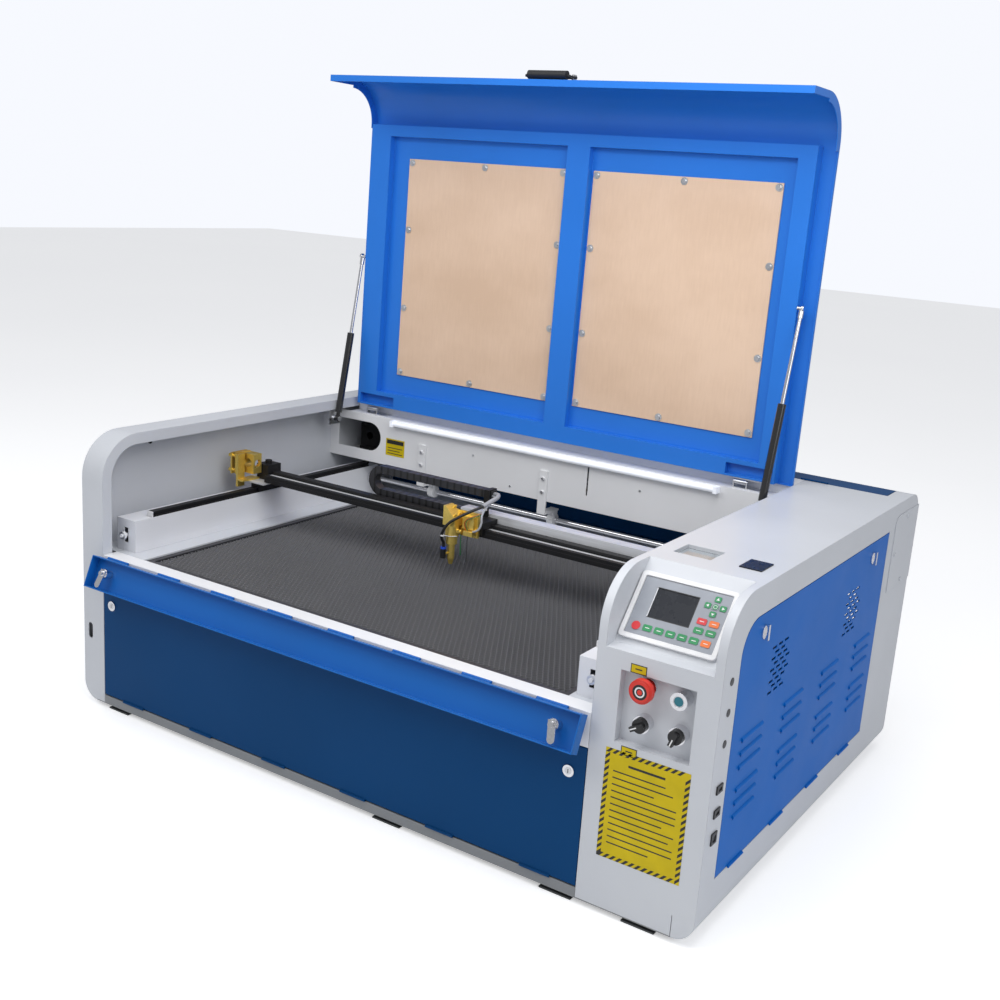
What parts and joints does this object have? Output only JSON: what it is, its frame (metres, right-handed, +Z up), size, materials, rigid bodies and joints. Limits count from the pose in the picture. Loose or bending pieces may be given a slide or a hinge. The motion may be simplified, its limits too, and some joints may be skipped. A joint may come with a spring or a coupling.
{
  "type": "laser cutter",
  "caption": "Desktop laser cutter: lift-up windowed lid, moving gantry and cutting head over a flat bed, fold-down front flap and side control cabinet.",
  "frame": {"origin": "centre of the body's footprint on the floor, under the feet", "axes": "+X to the right along the front, +Y from the front to the rear, +Z up"},
  "size_m": [1.459, 1.0958, 1.3817],
  "materials": {
    "grey_paint": "satin powder coat, light grey",
    "white_paint": "satin powder coat, near white",
    "blue_paint": "satin powder coat, deep blue",
    "lid_blue": "semi-gloss powder coat, bright blue",
    "rail_grey": "satin powder coat, mid grey",
    "black_metal": "black oxide, oiled",
    "bare_aluminium": "drawn and clear anodised",
    "bright_steel": "bright plated",
    "zinc_steel": "zinc plated",
    "gold_anodised": "gold anodised",
    "strut_black": "gloss black",
    "black_plastic": "fine texture",
    "chain_plastic": "satin moulded",
    "white_plastic": "satin moulded",
    "key_film": "printed film, silver grey",
    "screen_glass": "dark filter",
    "red_plastic": "moulded",
    "teal_plastic": "moulded",
    "clear_acrylic": "clear",
    "tube_glass": "clear borosilicate",
    "brown_paper": "masking paper over the window sheet",
    "rubber_black": "matt",
    "lamp_white": "diffuser",
    "brass": "machined",
    "bed_dark": "dark grey"
  },
  "bodies": {
    "frame": {"left_wall": "grey_paint", "base_pan": "grey_paint", "sill": "white_paint", "inner_deck": "grey_paint", "cabinet_shell": "grey_paint", "rear_housing": "white_paint", "service_cover": "grey_paint", "rail_boxes": "rail_grey", "y_rails": "black_metal", "shaft_supports": "white_paint", "laser_tube": "tube_glass", "tube_clamps": "black_plastic", "mirror_one": "black_metal", "electronics": "zinc_steel", "exhaust_spigot": "zinc_steel", "water_barbs": "brass", "led_bar": "lamp_white", "hmi_bezel": "white_plastic", "hmi_panel": "key_film", "displays": "screen_glass", "control_collars": "bright_steel", "top_window": "clear_acrylic", "ports": "black_plastic", "lid_supports": "zinc_steel", "bed_frame": "bed_dark", "bed_honeycomb": "bare_aluminium"},
    "lid": {"lid_shell": "lid_blue", "lid_windows": "brown_paper", "lid_fittings": "zinc_steel"},
    "bail": {"lid_bail": "rubber_black"},
    "strut_left": {"strut_left": "strut_black"},
    "strut_right": {"strut_right": "strut_black"},
    "rod_left": {"rod_left": "bright_steel"},
    "rod_right": {"rod_right": "bright_steel"},
    "flap": {"flap": "lid_blue"},
    "flap_lock_left": {"flap_lock_left": "bright_steel"},
    "flap_lock_right": {"flap_lock_right": "bright_steel"},
    "front_door": {"front_door": "blue_paint"},
    "door_lock_left": {"door_lock_left": "bright_steel"},
    "door_lock_right": {"door_lock_right": "bright_steel"},
    "side_door": {"side_door": "blue_paint"},
    "side_latch_front": {"side_latch_front": "bright_steel"},
    "side_latch_rear": {"side_latch_rear": "bright_steel"},
    "tube_cover": {"tube_cover": "blue_paint"},
    "pass_flap": {"pass_flap": "blue_paint"},
    "gantry": {"x_beam": "bare_aluminium", "beam_rails": "black_metal", "beam_carriages": "black_metal", "mirror_two": "gold_anodised"},
    "chain_loop": {"cable_chain": "chain_plastic"},
    "head": {"head_carriage": "black_metal", "head_block": "gold_anodised", "head_hoses": "rubber_black", "chain_upper": "chain_plastic"},
    "lens_tube": {"lens_tube": "gold_anodised"},
    "sync_shaft": {"sync_shaft": "bright_steel"},
    "estop_button": {"estop_button": "red_plastic"},
    "push_button": {"push_button": "teal_plastic"},
    "selector_left": {"selector_left": "black_plastic"},
    "selector_right": {"selector_right": "black_plastic"}
  },
  "joints": [
    {"name": "lid_hinge", "type": "hinge", "parent": "frame", "child": "lid", "pos_m": [-0.07, 0.3055, 0.571], "axis": [1, 0, 0], "range_deg": [0, 91.3]},
    {"name": "lid_bail_pivot", "type": "hinge", "parent": "lid", "child": "bail", "pos_m": [-0.085, 0.22261, 1.37013], "axis": [1, 0, 0], "range_deg": [-90, 0]},
    {"name": "strut_left_pivot", "type": "hinge", "parent": "frame", "child": "strut_left", "pos_m": [-0.653, 0.2315, 0.546], "axis": [1, 0, 0], "range_deg": [-1, 98.31]},
    {"name": "strut_right_pivot", "type": "hinge", "parent": "frame", "child": "strut_right", "pos_m": [0.485, 0.2125, 0.546], "axis": [1, 0, 0], "range_deg": [-1, 100.69]},
    {"name": "rod_left_slide", "type": "slide", "parent": "strut_left", "child": "rod_left", "axis": [0, 0.1836, 0.983], "range_m": [-0.10592, 0.0005]},
    {"name": "rod_right_slide", "type": "slide", "parent": "strut_right", "child": "rod_right", "axis": [0, 0.2281, 0.9736], "range_m": [-0.1288, 0.0005]},
    {"name": "flap_hinge", "type": "hinge", "parent": "frame", "child": "flap", "pos_m": [-0.077, -0.4945, 0.342], "axis": [1, 0, 0], "range_deg": [-158, 0]},
    {"name": "flap_lock_left_turn", "type": "hinge", "parent": "flap", "child": "flap_lock_left", "pos_m": [-0.616, -0.51947, 0.31757], "axis": [0, -0.9272, 0.3746], "range_deg": [0, 90]},
    {"name": "flap_lock_right_turn", "type": "hinge", "parent": "flap", "child": "flap_lock_right", "pos_m": [0.462, -0.51947, 0.31757], "axis": [0, -0.9272, 0.3746], "range_deg": [-90, 0]},
    {"name": "front_door_hinge", "type": "hinge", "parent": "frame", "child": "front_door", "pos_m": [-0.076, -0.4935, 0.0305], "axis": [1, 0, 0], "range_deg": [0, 90]},
    {"name": "door_lock_left_turn", "type": "hinge", "parent": "front_door", "child": "door_lock_left", "pos_m": [-0.635, -0.4915, 0.237], "axis": [0, 1, 0], "range_deg": [0, 90]},
    {"name": "door_lock_right_turn", "type": "hinge", "parent": "front_door", "child": "door_lock_right", "pos_m": [0.478, -0.4915, 0.232], "axis": [0, 1, 0], "range_deg": [-90, 0]},
    {"name": "side_door_hinge", "type": "hinge", "parent": "frame", "child": "side_door", "pos_m": [0.727, -0.0655, 0.1005], "axis": [0, 1, 0], "range_deg": [0, 90]},
    {"name": "side_latch_front_turn", "type": "hinge", "parent": "side_door", "child": "side_latch_front", "pos_m": [0.725, -0.3465, 0.499], "axis": [1, 0, 0], "range_deg": [0, 90]},
    {"name": "side_latch_rear_turn", "type": "hinge", "parent": "side_door", "child": "side_latch_rear", "pos_m": [0.725, 0.2025, 0.499], "axis": [1, 0, 0], "range_deg": [-90, 0]},
    {"name": "tube_cover_hinge", "type": "hinge", "parent": "frame", "child": "tube_cover", "pos_m": [0.013, 0.389, 0.584], "axis": [1, 0, 0], "range_deg": [0, 90]},
    {"name": "pass_flap_hinge", "type": "hinge", "parent": "frame", "child": "pass_flap", "pos_m": [-0.076, 0.4935, 0.343], "axis": [1, 0, 0], "range_deg": [-90, 0]},
    {"name": "gantry_slide", "type": "slide", "parent": "frame", "child": "gantry", "axis": [0, 1, 0], "range_m": [-0.3, 0.27]},
    {"name": "head_slide", "type": "slide", "parent": "gantry", "child": "head", "axis": [1, 0, 0], "range_m": [-0.52, 0.4]},
    {"name": "chain_slide", "type": "slide", "parent": "head", "child": "chain_loop", "axis": [1, 0, 0], "range_m": [-0.2005, 0.2605], "deforming": ["chain_upper"]},
    {"name": "focus_slide", "type": "slide", "parent": "head", "child": "lens_tube", "axis": [0, 0, 1], "range_m": [-0.012, 0.006]},
    {"name": "sync_shaft_spin", "type": "hinge", "parent": "frame", "child": "sync_shaft", "pos_m": [-0.085, 0.3415, 0.383], "axis": [1, 0, 0], "range_deg": [-1377.1, 1239.59]},
    {"name": "estop_press", "type": "slide", "parent": "frame", "child": "estop_button", "axis": [0, 1, 0], "range_m": [0, 0.004]},
    {"name": "push_button_press", "type": "slide", "parent": "frame", "child": "push_button", "axis": [0, 1, 0], "range_m": [0, 0.003], "stiffness_N_per_m": 400},
    {"name": "selector_left_turn", "type": "hinge", "parent": "frame", "child": "selector_left", "pos_m": [0.598, -0.4915, 0.35], "axis": [0, 1, 0], "range_deg": [-90, 0]},
    {"name": "selector_right_turn", "type": "hinge", "parent": "frame", "child": "selector_right", "pos_m": [0.66, -0.4915, 0.35], "axis": [0, 1, 0], "range_deg": [0, 60]}
  ],
  "couplings": [
    {"joint": "strut_left_pivot", "follows": "lid_hinge", "ratio": 1.0658},
    {"joint": "strut_right_pivot", "follows": "lid_hinge", "ratio": 1.0919},
    {"joint": "rod_left_slide", "follows": "lid_hinge", "m_per_rad": -0.06616},
    {"joint": "rod_right_slide", "follows": "lid_hinge", "m_per_rad": -0.080518},
    {"joint": "chain_slide", "follows": "head_slide", "ratio": -0.5},
    {"joint": "sync_shaft_spin", "follows": "gantry_slide", "rad_per_m": 80}
  ]
}
